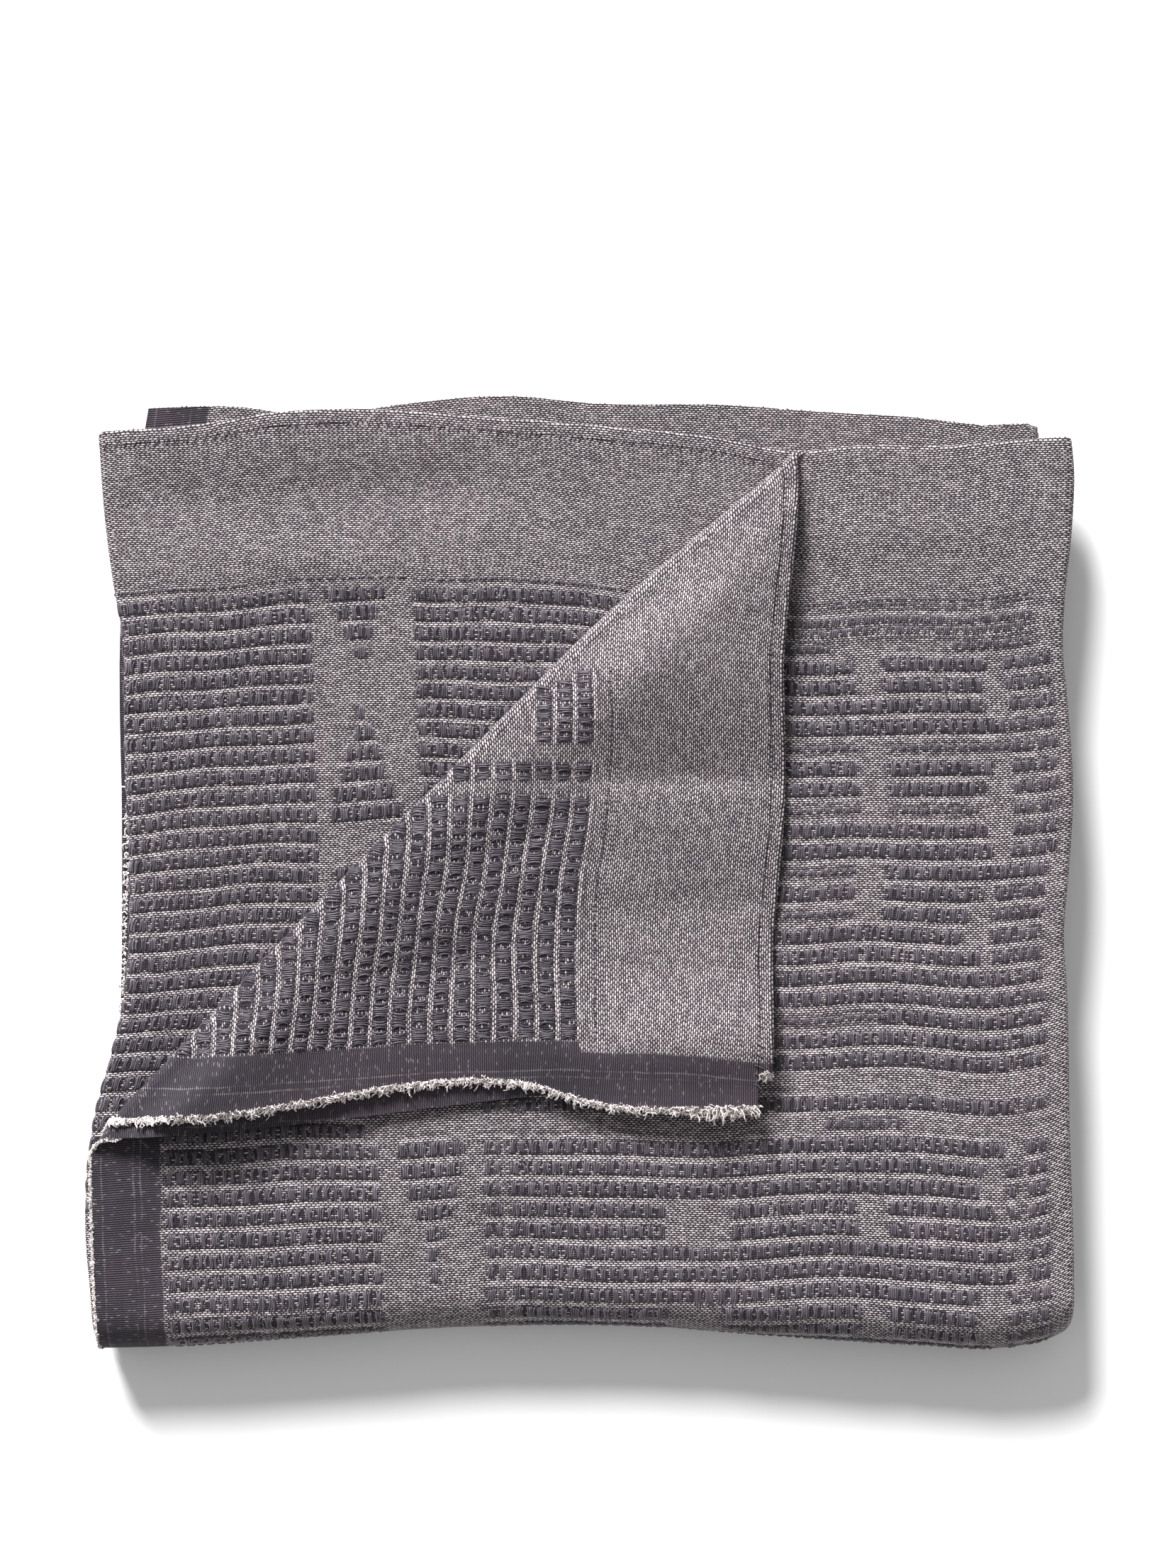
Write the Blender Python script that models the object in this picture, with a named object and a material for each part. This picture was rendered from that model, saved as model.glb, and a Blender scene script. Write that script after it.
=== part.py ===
"""A handwoven cloth of two loom panels sewn edge to edge, folded square, with one corner turned back.

Each panel is made flat, as a thin slab whose coordinates are u (along the cloth), v (across it, 0 at
the back fold) and n (through it), and then every point is carried through the folds in order: in half
along the seam, in four leaves like a fan, under at the front, and one corner of the top leaf over.
"""

from math import pi, sqrt

import bmesh
import bpy
import numpy as np

NAME = "folded_woven_cloth"

# The cloth, in metres
THICKNESS = 0.0015
PITCH = 0.0021  # from one layer's middle to the next
SEAM_SIDE = 0.0065  # the seam lies this far past the back fold, on the underside
SEAM_GAP = 0.0003
PANEL_WIDTH = 0.832  # from the back fold to the outer selvage

# In half along the seam
SEAM_FOLD_RADIUS = PITCH / 2
SEAM_FOLD_HALF = pi * SEAM_FOLD_RADIUS / 2

# The fan of four leaves
LEAVES = 4
LEAF_LENGTH = 0.436
LEAF_TURN = 0.008  # cloth taken up by one turn of the fan
LEAF_STEP = LEAF_LENGTH + LEAF_TURN
CLOTH_LENGTH = LEAVES * LEAF_STEP - LEAF_TURN
TURN_LEVELS = (5.5, 3.5, 1.5)  # heights of the turns' axes, in pitches
TURN_REACH = 1.5 * PITCH  # radius of a turn's outer layer

# The fold under at the front
STACK_LAYERS = 8
FRONT_START = 0.390
FRONT_TURN = 0.030
LOWER_START = FRONT_START + FRONT_TURN
FRONT_REACH = (STACK_LAYERS - 0.5) * PITCH

# The corner turned back
CORNER_SUM = 0.3208  # u plus distance from the back, on the line where the corner lifts
CORNER_RADIUS = 0.0023
CORNER_TURN = pi * (CORNER_RADIUS + PITCH / 2)
CORNER_SETTLE = 0.050  # run over which the flap comes down onto the leaf
CORNER_LEAN = 0.027  # slope by which the flap's side leans left
CORNER_LEAN_RUN = 0.080

# Raw ends: distance from the back fold, how far short of the panel's full length the weave stops
RAW_END_FADE = 0.060
FRONT_PANEL_END = ((0.0, 0.027), (0.03, 0.022), (0.10, 0.012), (0.20, 0.004), (0.31, 0.001), (0.83, 0.001))
BACK_PANEL_END = (
    (0.0, 0.012), (0.030, 0.009), (0.063, 0.007), (0.085, 0.010), (0.105, 0.0165), (0.130, 0.0195),
    (0.165, 0.018), (0.200, 0.0135), (0.240, 0.007), (0.300, 0.005), (0.400, 0.004), (0.830, 0.004),
)

# Edges of the folded stack: distance from the back fold, X of the outer edge
RAW_LEFT = ((0.0, -0.2215), (0.39, -0.2215), (0.45, -0.2170), (0.83, -0.2140))
TOP_RIGHT_TURN = (
    (0.0, 0.2245), (0.014, 0.2256), (0.040, 0.2244), (0.075, 0.2206), (0.095, 0.2195), (0.120, 0.2214),
    (0.165, 0.2236), (0.200, 0.2212), (0.225, 0.2188), (0.255, 0.2200), (0.320, 0.2206), (0.375, 0.2218),
    (0.405, 0.2215), (0.450, 0.2170), (0.830, 0.2125),
)
LEFT_TURN = (
    (0.0, -0.2242), (0.035, -0.2213), (0.066, -0.2170), (0.090, -0.2125), (0.130, -0.2112),
    (0.260, -0.2115), (0.310, -0.2240), (0.350, -0.2268), (0.390, -0.2235), (0.450, -0.2215),
    (0.550, -0.2140), (0.640, -0.2140), (0.740, -0.2155), (0.830, -0.2165),
)
LOW_RIGHT_TURN = ((0.0, 0.2200), (0.20, 0.2165), (0.39, 0.2175), (0.45, 0.2150), (0.83, 0.2110))
LAST_END = (
    (0.0, -0.2190), (0.060, -0.2150), (0.100, -0.2140), (0.180, -0.2120), (0.390, -0.2160),
    (0.600, -0.2130), (0.780, -0.2120), (0.830, -0.2035),
)

# Back and front edges: X, Y of the outer edge
TOP_BACK = (
    (-0.230, 0.1950), (0.070, 0.1945), (0.095, 0.1915), (0.125, 0.1938), (0.175, 0.1942), (0.204, 0.1970),
    (0.226, 0.1985),
)
SECOND_BACK = (
    (-0.228, 0.2010), (-0.180, 0.2040), (-0.140, 0.2098), (-0.110, 0.2112), (-0.055, 0.2082),
    (0.010, 0.2032), (0.060, 0.1982), (0.085, 0.1935), (0.150, 0.1930), (0.226, 0.1975),
)
LOW_BACK = ((-0.228, 0.2000), (-0.120, 0.2085), (0.000, 0.2025), (0.090, 0.1925), (0.226, 0.1960))
FRONT_EDGE = (
    (-0.230, -0.2195), (-0.190, -0.2185), (-0.130, -0.2145), (-0.050, -0.2095), (0.020, -0.2090),
    (0.080, -0.2130), (0.150, -0.2175), (0.196, -0.2185), (0.212, -0.2150), (0.226, -0.2080),
)
LAST_SELVAGE = (
    (-0.225, 0.2140), (-0.205, 0.2146), (-0.160, 0.2152), (-0.125, 0.2105), (-0.090, 0.2158),
    (-0.035, 0.2203), (0.005, 0.2168), (0.065, 0.2162), (0.110, 0.2130), (0.160, 0.2098), (0.182, 0.2070),
    (0.226, 0.2040),
)
THIRD_SELVAGE = ((-0.225, 0.2050), (-0.100, 0.2070), (0.060, 0.2060), (0.150, 0.2060), (0.226, 0.2092))
LOW_SELVAGE = ((-0.225, 0.2030), (0.000, 0.2050), (0.226, 0.2050))
BACK_EDGES = (TOP_BACK, SECOND_BACK, LOW_BACK, LOW_BACK)
SELVAGES = (LOW_SELVAGE, LOW_SELVAGE, THIRD_SELVAGE, LAST_SELVAGE)

# Soft swells: X, Y, reach along X, reach along Y, height
TOP_SWELLS = (
    (0.140, 0.060, 0.060, 0.040, 0.0008),
    (0.060, -0.130, 0.090, 0.030, 0.0010),
    (-0.060, -0.060, 0.070, 0.040, 0.0009),
    (-0.150, -0.165, 0.040, 0.022, 0.0007),
)
SECOND_SWELLS = (
    (-0.110, 0.138, 0.060, 0.011, 0.0010),
    (-0.030, 0.158, 0.030, 0.012, 0.0006),
    (-0.170, 0.060, 0.022, 0.030, 0.0007),
)
UNEVEN = 0.035  # how much the stack's height changes from place to place, as a share of it
CENTRE = (-0.0004, 0.0005)  # the stack's middle before it is moved over the origin

# How finely the flat slab is divided: distances from a leaf's end, and then a plain step
END_STEPS = (0.008, 0.026)
TOP_LEAF_STEP = 0.038
LOW_LEAF_STEP = 0.074
ROW_STEP = 0.048
TURN_PARTS = 5
SEAM_FOLD_PARTS = 4
FRONT_PARTS = 8
CORNER_PARTS = 6
SNAP = 0.0004

COLOURS = {"panel_front": (0.115, 0.100, 0.112), "panel_back": (0.105, 0.092, 0.104)}


def clear_scene():
    for obj in list(bpy.data.objects):
        bpy.data.objects.remove(obj)


def curve(table, at):
    """The table's second column at places along its first, as a smooth line through its points."""
    places, values = np.array(table).T
    slopes = np.gradient(values, places)
    i = np.clip(np.searchsorted(places, at) - 1, 0, len(places) - 2)
    run = places[i + 1] - places[i]
    f = np.clip((at - places[i]) / run, 0.0, 1.0)
    rise = values[i + 1] - values[i]
    start = slopes[i] * run
    end = slopes[i + 1] * run
    return values[i] + start * f + (3 * rise - 2 * start - end) * f**2 + (start + end - 2 * rise) * f**3


def smooth(f):
    f = np.clip(f, 0.0, 1.0)
    return f * f * (3 - 2 * f)


def between(start, end, f):
    return start + (end - start) * f


def leaf_curve(tables, leaf, at):
    """The edge that belongs to a leaf number, mixed between two leaves inside a turn."""
    lower = np.clip(np.floor(leaf).astype(int), 0, LEAVES - 1)
    upper = np.minimum(lower + 1, LEAVES - 1)
    edges = np.array([curve(table, at) for table in tables])
    column = np.arange(len(at))
    return between(edges[lower, column], edges[upper, column], leaf - lower)


def swell(table, x, y):
    total = np.zeros_like(x)
    for mid_x, mid_y, reach_x, reach_y, height in table:
        total += height * np.exp(-(((x - mid_x) / reach_x) ** 2) - ((y - mid_y) / reach_y) ** 2)
    return total


def trimmed(u, v, end_table):
    """Both raw ends stop short of the full length, by an amount that changes across the cloth."""
    short = np.maximum(curve(end_table, np.abs(v)), 0.0005)
    u = u + short * np.clip(1 - u / RAW_END_FADE, 0, 1)
    return u - 0.5 * short * np.clip(1 - (CLOTH_LENGTH - u) / RAW_END_FADE, 0, 1)


def fold_at_seam(v, n):
    """Distance from the back fold and height in the double layer."""
    angle = np.clip(v / SEAM_FOLD_RADIUS, -pi / 2, pi / 2)
    radius = SEAM_FOLD_RADIUS + n
    back = SEAM_FOLD_RADIUS - radius * np.cos(angle) + np.maximum(np.abs(v) - SEAM_FOLD_HALF, 0)
    return back, PITCH / 2 + radius * np.sin(angle)


def turn_corner(u, back, height):
    """Carries the corner over its diagonal: new u, distance from the back, and height of the top leaf."""
    past = (CORNER_SUM - u - back) / sqrt(2)
    angle = pi * np.clip(past / CORNER_TURN, 0, 1)
    radius = CORNER_RADIUS + PITCH - height
    over = np.maximum(past - CORNER_TURN, 0)
    moved = np.where(past > 0, past - radius * np.sin(angle) + over, 0) / sqrt(2)
    lifted = 7 * PITCH + CORNER_RADIUS - radius * np.cos(angle)
    lifted = lifted - (2 * CORNER_RADIUS - PITCH) * smooth(over / CORNER_SETTLE)
    new_u = u + moved
    new_back = back + moved
    new_u = new_u - CORNER_LEAN * new_back * smooth(over / CORNER_LEAN_RUN)
    level = np.where(past > 0, lifted, 6 * PITCH + height)
    return new_u, new_back, level


def fold_fan(u, back, height):
    """X, height and leaf number after the fan of leaves."""
    step = np.clip(np.floor(u / LEAF_STEP).astype(int), 0, LEAVES - 1)
    along = u - step * LEAF_STEP
    f = along / LEAF_LENGTH
    angle = pi * np.clip((along - LEAF_LENGTH) / LEAF_TURN, 0, 1)
    in_turn = along > LEAF_LENGTH
    axes = (
        curve(RAW_LEFT, back),
        curve(TOP_RIGHT_TURN, back) - TURN_REACH,
        curve(LEFT_TURN, back) + TURN_REACH,
        curve(LOW_RIGHT_TURN, back) - TURN_REACH,
        curve(LAST_END, back),
    )
    flat_levels = (6 * PITCH + height, 5 * PITCH - height, 2 * PITCH + height, PITCH - height)
    x = np.zeros_like(u)
    level = np.zeros_like(u)
    for k in range(LEAVES):
        here = step == k
        x = np.where(here & ~in_turn, between(axes[k], axes[k + 1], f), x)
        level = np.where(here & ~in_turn, flat_levels[k], level)
    for k, axis_level in enumerate(TURN_LEVELS):
        here = (step == k) & in_turn
        side = 1 if k % 2 == 0 else -1
        radius = PITCH / 2 + (height if side > 0 else PITCH - height)
        x = np.where(here, axes[k + 1] + side * radius * np.sin(angle), x)
        level = np.where(here, axis_level * PITCH + radius * np.cos(angle), level)
    return x, level, step + angle / pi


def fold_under(x, back, level, leaf):
    """Y and Z after the whole stack goes under at the front."""
    front_axis = curve(FRONT_EDGE, x) + FRONT_REACH + THICKNESS / 2
    radius = level + PITCH / 2
    angle = pi * np.clip((back - FRONT_START) / FRONT_TURN, 0, 1)
    upper = between(leaf_curve(BACK_EDGES, leaf, x), front_axis, back / FRONT_START)
    lower_share = (back - LOWER_START) / (PANEL_WIDTH - LOWER_START)
    lower = between(front_axis, leaf_curve(SELVAGES, leaf, x), lower_share)
    y = np.where(back < FRONT_START, upper, front_axis - radius * np.sin(angle))
    y = np.where(back > LOWER_START, lower, y)
    z = radius * np.cos(angle) - PITCH / 2 + STACK_LAYERS * PITCH + THICKNESS / 2
    return y, z


def settle(x, y, z, u, back, height):
    """The soft swells of the top two leaves, and the stack's uneven height."""
    upper = smooth((FRONT_START - back) / 0.05)
    on_top = upper * smooth((LEAF_LENGTH - u) / 0.04)
    revealed = upper * smooth((u - LEAF_STEP) / 0.04) * smooth((PITCH - height) / PITCH)
    clear = smooth((y - x - 0.125) / 0.02)
    z = z + on_top * swell(TOP_SWELLS, x, y) + revealed * clear * swell(SECOND_SWELLS, x, y)
    uneven = 0.6 * np.sin(9.0 * x + 5.0 * y + 0.8) + 0.4 * np.sin(7.0 * y - 8.0 * x)
    return z * (1 + UNEVEN * uneven)


def folded(points):
    u, v, n = points.T
    back, height = fold_at_seam(v, n)
    corner = (u < LEAF_LENGTH) & (back < FRONT_START)
    turned_u, turned_back, turned_level = turn_corner(u, back, height)
    place_u = np.where(corner, turned_u, u)
    place_back = np.where(corner, turned_back, back)
    x, level, leaf = fold_fan(place_u, place_back, height)
    level = np.where(corner, turned_level, level)
    y, z = fold_under(x, place_back, level, leaf)
    z = settle(x, y, z, place_u, place_back, height)
    return np.column_stack([x - CENTRE[0], y - CENTRE[1], z])


def stations(start, end, step, steps=END_STEPS):
    """Divisions from start to end, closer together by both ends."""
    inner_start, inner_end = start + steps[-1], end - steps[-1]
    count = max(1, round((inner_end - inner_start) / step))
    near = [start + s for s in steps[:-1]]
    far = [end - s for s in reversed(steps[:-1])]
    return [start, *near, *np.linspace(inner_start, inner_end, count + 1), *far, end]


def lengthwise_stations():
    places = []
    for leaf in range(LEAVES):
        start = leaf * LEAF_STEP
        places += stations(start, start + LEAF_LENGTH, TOP_LEAF_STEP if leaf < 2 else LOW_LEAF_STEP)
        turn = start + LEAF_LENGTH
        if leaf < LEAVES - 1:
            places += list(np.linspace(turn, turn + LEAF_TURN, TURN_PARTS + 1)[1:-1])
    return sorted(set(places))


def crosswise_stations(inner):
    """Divisions of a panel's width, from its seam edge or the back fold outwards."""
    extra = SEAM_FOLD_HALF - SEAM_FOLD_RADIUS
    front = FRONT_START + extra
    upper = stations(inner, front, ROW_STEP, (0.012, 0.030))
    turn = list(np.linspace(front, front + FRONT_TURN, FRONT_PARTS + 1)[1:-1])
    lower = stations(front + FRONT_TURN, PANEL_WIDTH + extra, ROW_STEP * 1.4, (0.012, 0.030))
    return upper + turn + lower


def flat_sheet(us, vs, end_table):
    sheet = bmesh.new()
    bmesh.ops.create_grid(sheet, x_segments=len(us) - 1, y_segments=len(vs) - 1, size=0.5)
    for vert in sheet.verts:
        u = us[round((vert.co.x + 0.5) * (len(us) - 1))]
        v = vs[round((vert.co.y + 0.5) * (len(vs) - 1))]
        vert.co = (trimmed(u, v, end_table), v, 0.0)
    return sheet


def top_leaf_faces(sheet, side):
    """The faces of the top leaf's upper half, on one side of the back fold."""
    middles = {face: face.calc_center_median() for face in sheet.faces}
    return {face for face, at in middles.items() if 0 < at.y * side < FRONT_START and at.x < LEAF_LENGTH}


def score_corner(sheet):
    """Edges along the diagonal, so that the corner turns over in even steps."""
    extra = SEAM_FOLD_HALF - SEAM_FOLD_RADIUS
    for side in (1, -1):
        for part in range(CORNER_PARTS + 1):
            past = CORNER_TURN * part / CORNER_PARTS
            top = top_leaf_faces(sheet, side)
            items = [*sheet.verts, *sheet.edges]
            bmesh.ops.bisect_plane(
                sheet,
                geom=[face for face in sheet.faces if face in top]
                + [item for item in items if top.intersection(item.link_faces)],
                dist=SNAP,
                plane_co=(CORNER_SUM + extra - past * sqrt(2), 0, 0),
                plane_no=(1, side, 0),
            )


def slab(sheet):
    """The flat sheet given its thickness, half to each side."""
    bmesh.ops.triangulate(sheet, faces=sheet.faces[:])
    raised = bmesh.ops.extrude_face_region(sheet, geom=sheet.faces[:])["geom"]
    lifted = [item for item in raised if isinstance(item, bmesh.types.BMVert)]
    bmesh.ops.translate(sheet, verts=lifted, vec=(0, 0, THICKNESS))
    bmesh.ops.translate(sheet, verts=sheet.verts[:], vec=(0, 0, -THICKNESS / 2))
    bmesh.ops.recalc_face_normals(sheet, faces=sheet.faces[:])
    bmesh.ops.reverse_faces(sheet, faces=sheet.faces[:])  # the folds map u, v, n to a left-handed frame


def fabric(name):
    material = bpy.data.materials.new(name)
    material.use_nodes = True
    shader = material.node_tree.nodes["Principled BSDF"]
    shader.inputs["Base Color"].default_value = (*COLOURS[name], 1)
    shader.inputs["Roughness"].default_value = 0.9
    shader.inputs["Metallic"].default_value = 0.0
    return material


def add_panel(name, vs, end_table, collection):
    sheet = flat_sheet(lengthwise_stations(), vs, end_table)
    score_corner(sheet)
    slab(sheet)
    points = folded(np.array([vert.co for vert in sheet.verts], dtype=float))
    for vert, point in zip(sheet.verts, points):
        vert.co = point
    mesh = bpy.data.meshes.new(name)
    sheet.to_mesh(mesh)
    sheet.free()
    mesh.materials.append(fabric(name))
    collection.objects.link(bpy.data.objects.new(name, mesh))


def main():
    clear_scene()
    collection = bpy.data.collections.new(NAME)
    bpy.context.scene.collection.children.link(collection)
    round_fold = list(np.linspace(-SEAM_FOLD_HALF, SEAM_FOLD_HALF, SEAM_FOLD_PARTS + 1))
    seam_edge = -SEAM_SIDE + SEAM_GAP / 2
    front_vs = [seam_edge, *round_fold, *crosswise_stations(SEAM_FOLD_HALF)[1:]]
    back_vs = sorted(-v for v in crosswise_stations(SEAM_SIDE + SEAM_GAP / 2))
    add_panel("panel_front", front_vs, FRONT_PANEL_END, collection)
    add_panel("panel_back", back_vs, BACK_PANEL_END, collection)


main()
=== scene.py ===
from math import pi, radians, sqrt

import bmesh
import bpy
import numpy as np
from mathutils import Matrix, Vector


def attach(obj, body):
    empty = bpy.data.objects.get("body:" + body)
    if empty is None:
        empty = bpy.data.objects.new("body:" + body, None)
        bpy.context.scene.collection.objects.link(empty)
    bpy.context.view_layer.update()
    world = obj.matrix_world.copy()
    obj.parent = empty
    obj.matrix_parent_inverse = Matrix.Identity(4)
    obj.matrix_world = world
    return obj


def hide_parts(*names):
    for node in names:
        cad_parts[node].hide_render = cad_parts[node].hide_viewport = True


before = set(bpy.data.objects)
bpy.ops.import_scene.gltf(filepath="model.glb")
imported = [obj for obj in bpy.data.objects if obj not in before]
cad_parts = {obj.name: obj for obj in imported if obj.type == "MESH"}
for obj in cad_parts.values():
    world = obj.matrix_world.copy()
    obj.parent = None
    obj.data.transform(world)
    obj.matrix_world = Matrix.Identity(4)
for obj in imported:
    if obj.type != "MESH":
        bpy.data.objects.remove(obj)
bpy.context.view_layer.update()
print("frame loaded")


# The cloth and its folds, in metres: u runs along the cloth, v across it from the back fold, n through it

cloth = {
    "thickness": 0.0015,
    "layerPitch": 0.0021,  # from one layer's middle to the next
    "seamSide": 0.0065,  # the seam lies this far past the back fold, underneath
    "seamGap": 0.0003,
    "panelWidth": 0.832,
    "leaves": 4,
    "leafLength": 0.436,
    "leafTurn": 0.008,
    "frontStart": 0.39,
    "frontTurn": 0.03,
    "stackLayers": 8,
    "rawEndFade": 0.06,
    "centre": (-0.0004, 0.0005),
    "uneven": 0.035,  # share by which the stack's height changes
}
corner = {  # the turned corner
    "sum": 0.3208,  # u plus distance from the back, on the line where the corner lifts
    "radius": 0.0023,
    "settle": 0.05,
    "lean": 0.027,
    "leanRun": 0.08,
    "roll": 0.0029,  # how far the turned cloth swells up beside its fold
    "rollRun": 0.016,
    "rollFall": 0.06,
    "liftRun": 0.085,  # along the cloth from the raw end
    "liftFade": 0.02,
    "underLayer": 0.55,  # share of the lift that the layer beneath lacks
}
seen = {  # where the second leaf shows past the turned corner: Y less X, and Y, with the width of each fade
    "line": (0.125, 0.02), "liftLine": (0.118, 0.035), "liftBack": (0.166, 0.038),
}
# How far the raw end stands up: distance from the back fold, height
rawLift = (
    (0.0, 0.004), (0.03, 0.0052), (0.06, 0.004), (0.1, 0.0012), (0.15, 0.0018), (0.2, 0.0048),
    (0.25, 0.0078), (0.3, 0.0085), (0.42, 0.0085),
)
# The turned corner's billow: Y, height, and X, share of it
flapBillow = (
    (-0.13, 0.0), (-0.102, 0.0006), (-0.083, 0.005), (-0.06, 0.0026), (-0.038, 0.0002), (0.0, 0.0012),
    (0.024, 0.0024), (0.033, 0.0016), (0.0385, 0.0), (0.046, 0.0013), (0.068, 0.0058), (0.09, 0.0083),
    (0.11, 0.0073), (0.15, 0.0036), (0.192, 0.0003), (0.23, 0.0),
)
flapShare = (
    (-0.23, 0.0), (-0.1, 0.12), (-0.03, 0.3), (0.01, 0.75), (0.035, 1.0), (0.07, 1.0), (0.095, 0.72),
    (0.23, 0.7),
)
# How far the second leaf lifts at the back fold: X, height
secondLift = ((-0.23, 0.0016), (-0.15, 0.0026), (-0.08, 0.0028), (-0.02, 0.0018), (0.06, 0.0008), (0.23, 0.0))

pitch = cloth["layerPitch"]
half = cloth["thickness"] / 2
leafLength = cloth["leafLength"]
leafTurn = cloth["leafTurn"]
leafStep = leafLength + leafTurn
clothLength = cloth["leaves"] * leafStep - leafTurn
frontStart = cloth["frontStart"]
frontTurn = cloth["frontTurn"]
lowerStart = frontStart + frontTurn
frontReach = (cloth["stackLayers"] - 0.5) * pitch
seamFoldRadius = pitch / 2
seamFoldHalf = pi * seamFoldRadius / 2
foldExtra = seamFoldHalf - seamFoldRadius
cornerTurn = pi * (corner["radius"] + pitch / 2)
turnLevels = (5.5, 3.5, 1.5)
turnReach = 1.5 * pitch

# Raw ends: distance from the back fold, how far short the weave stops
frontPanelEnd = ((0.0, 0.027), (0.03, 0.022), (0.1, 0.012), (0.2, 0.004), (0.31, 0.001), (0.83, 0.001))
backPanelEnd = (
    (0.0, 0.012), (0.03, 0.009), (0.063, 0.007), (0.085, 0.01), (0.105, 0.0165), (0.13, 0.0195),
    (0.165, 0.0185), (0.2, 0.015), (0.24, 0.011), (0.3, 0.01), (0.4, 0.006), (0.83, 0.004),
)

# Side edges of the stack: distance from the back fold, X of the edge
rawLeft = ((0.0, -0.2215), (0.39, -0.2215), (0.45, -0.217), (0.83, -0.214))
topRightTurn = (
    (0.0, 0.2245), (0.014, 0.2256), (0.04, 0.2244), (0.075, 0.2206), (0.095, 0.2195), (0.12, 0.2214),
    (0.165, 0.2236), (0.2, 0.2212), (0.225, 0.2188), (0.255, 0.22), (0.32, 0.2206), (0.375, 0.2218),
    (0.405, 0.2215), (0.45, 0.217), (0.83, 0.2125),
)
leftTurn = (
    (0.0, -0.2242), (0.035, -0.2213), (0.066, -0.217), (0.09, -0.2125), (0.13, -0.2112),
    (0.26, -0.2115), (0.31, -0.224), (0.35, -0.2268), (0.39, -0.2235), (0.45, -0.2215),
    (0.55, -0.214), (0.64, -0.214), (0.74, -0.2155), (0.83, -0.2165),
)
lowRightTurn = ((0.0, 0.22), (0.2, 0.2165), (0.39, 0.2175), (0.45, 0.215), (0.83, 0.211))
lastEnd = (
    (0.0, -0.219), (0.06, -0.215), (0.1, -0.214), (0.18, -0.212), (0.39, -0.216),
    (0.6, -0.213), (0.78, -0.212), (0.83, -0.2035),
)

# Back and front edges of the stack: X, Y of the edge
topBack = (
    (-0.23, 0.195), (0.07, 0.1945), (0.095, 0.1915), (0.125, 0.1938), (0.175, 0.1942), (0.204, 0.197),
    (0.226, 0.1985),
)
secondBack = (
    (-0.228, 0.201), (-0.18, 0.204), (-0.14, 0.2098), (-0.11, 0.2112), (-0.055, 0.2082),
    (0.01, 0.2032), (0.06, 0.1982), (0.085, 0.1935), (0.15, 0.193), (0.226, 0.1975),
)
lowBack = ((-0.228, 0.2), (-0.12, 0.2085), (0.0, 0.2025), (0.09, 0.1925), (0.226, 0.196))
frontEdge = (
    (-0.23, -0.2195), (-0.19, -0.2185), (-0.13, -0.2145), (-0.05, -0.2095), (0.02, -0.209),
    (0.08, -0.213), (0.15, -0.2175), (0.196, -0.2185), (0.212, -0.215), (0.226, -0.208),
)
lastSelvage = (
    (-0.225, 0.214), (-0.205, 0.2146), (-0.16, 0.2152), (-0.125, 0.2105), (-0.09, 0.2158),
    (-0.035, 0.2203), (0.005, 0.2168), (0.065, 0.2162), (0.11, 0.213), (0.16, 0.2098), (0.182, 0.207),
    (0.226, 0.204),
)
thirdSelvage = ((-0.225, 0.205), (-0.1, 0.207), (0.06, 0.206), (0.15, 0.206), (0.226, 0.2092))
lowSelvage = ((-0.225, 0.203), (0.0, 0.205), (0.226, 0.205))
backEdges = (topBack, secondBack, lowBack, lowBack)
selvages = (lowSelvage, lowSelvage, thirdSelvage, lastSelvage)

# Soft swells: X, Y, reach along X, reach along Y, height
topSwells = (
    (0.14, 0.06, 0.06, 0.04, 0.0008), (0.06, -0.13, 0.09, 0.03, 0.001),
    (-0.06, -0.06, 0.07, 0.04, 0.0009), (-0.15, -0.165, 0.04, 0.022, 0.0007),
)
secondSwells = (
    (-0.11, 0.138, 0.06, 0.011, 0.001), (-0.03, 0.158, 0.03, 0.012, 0.0006),
    (-0.17, 0.06, 0.022, 0.03, 0.0007),
)
# Ridges and troughs: X, Y to X, Y, half-width, height
topRidges = (
    (0.105, 0.15, 0.215, 0.16, 0.01, 0.0012), (0.12, 0.118, 0.215, 0.122, 0.006, -0.0006),
    (-0.1, -0.15, 0.06, -0.14, 0.012, 0.0012), (0.07, -0.165, 0.2, -0.178, 0.01, 0.001),
    (-0.19, -0.176, -0.08, -0.168, 0.012, 0.001), (0.11, -0.06, 0.215, -0.066, 0.014, 0.0008),
)
secondRidges = (
    (-0.215, 0.168, -0.04, 0.178, 0.012, -0.0016), (-0.16, 0.119, 0.02, 0.114, 0.0022, -0.0004),
    (-0.205, 0.138, -0.09, 0.146, 0.01, 0.0012), (-0.08, 0.15, 0.01, 0.14, 0.01, 0.0006),
)
flapRidges = (
    (0.005, 0.03, 0.08, 0.033, 0.004, 0.0007), (0.01, -0.02, 0.078, -0.014, 0.008, -0.001),
    (0.012, -0.048, 0.08, -0.052, 0.006, -0.0008), (-0.08, -0.03, -0.01, 0.002, 0.01, 0.0013),
    (-0.12, -0.055, -0.04, -0.04, 0.008, -0.001), (-0.03, 0.01, 0.004, 0.03, 0.006, -0.001),
)


def curve(table, at):
    places, values = np.array(table).T
    slopes = np.gradient(values, places)
    i = np.clip(np.searchsorted(places, at) - 1, 0, len(places) - 2)
    run = places[i + 1] - places[i]
    f = np.clip((at - places[i]) / run, 0.0, 1.0)
    rise = values[i + 1] - values[i]
    start = slopes[i] * run
    end = slopes[i + 1] * run
    return values[i] + start * f + (3 * rise - 2 * start - end) * f**2 + (start + end - 2 * rise) * f**3


def smooth(f):
    f = np.clip(f, 0.0, 1.0)
    return f * f * (3 - 2 * f)


def between(start, end, f):
    return start + (end - start) * f


def fade(at, edge):
    start, width = edge
    return smooth((at - start) / width)


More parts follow.
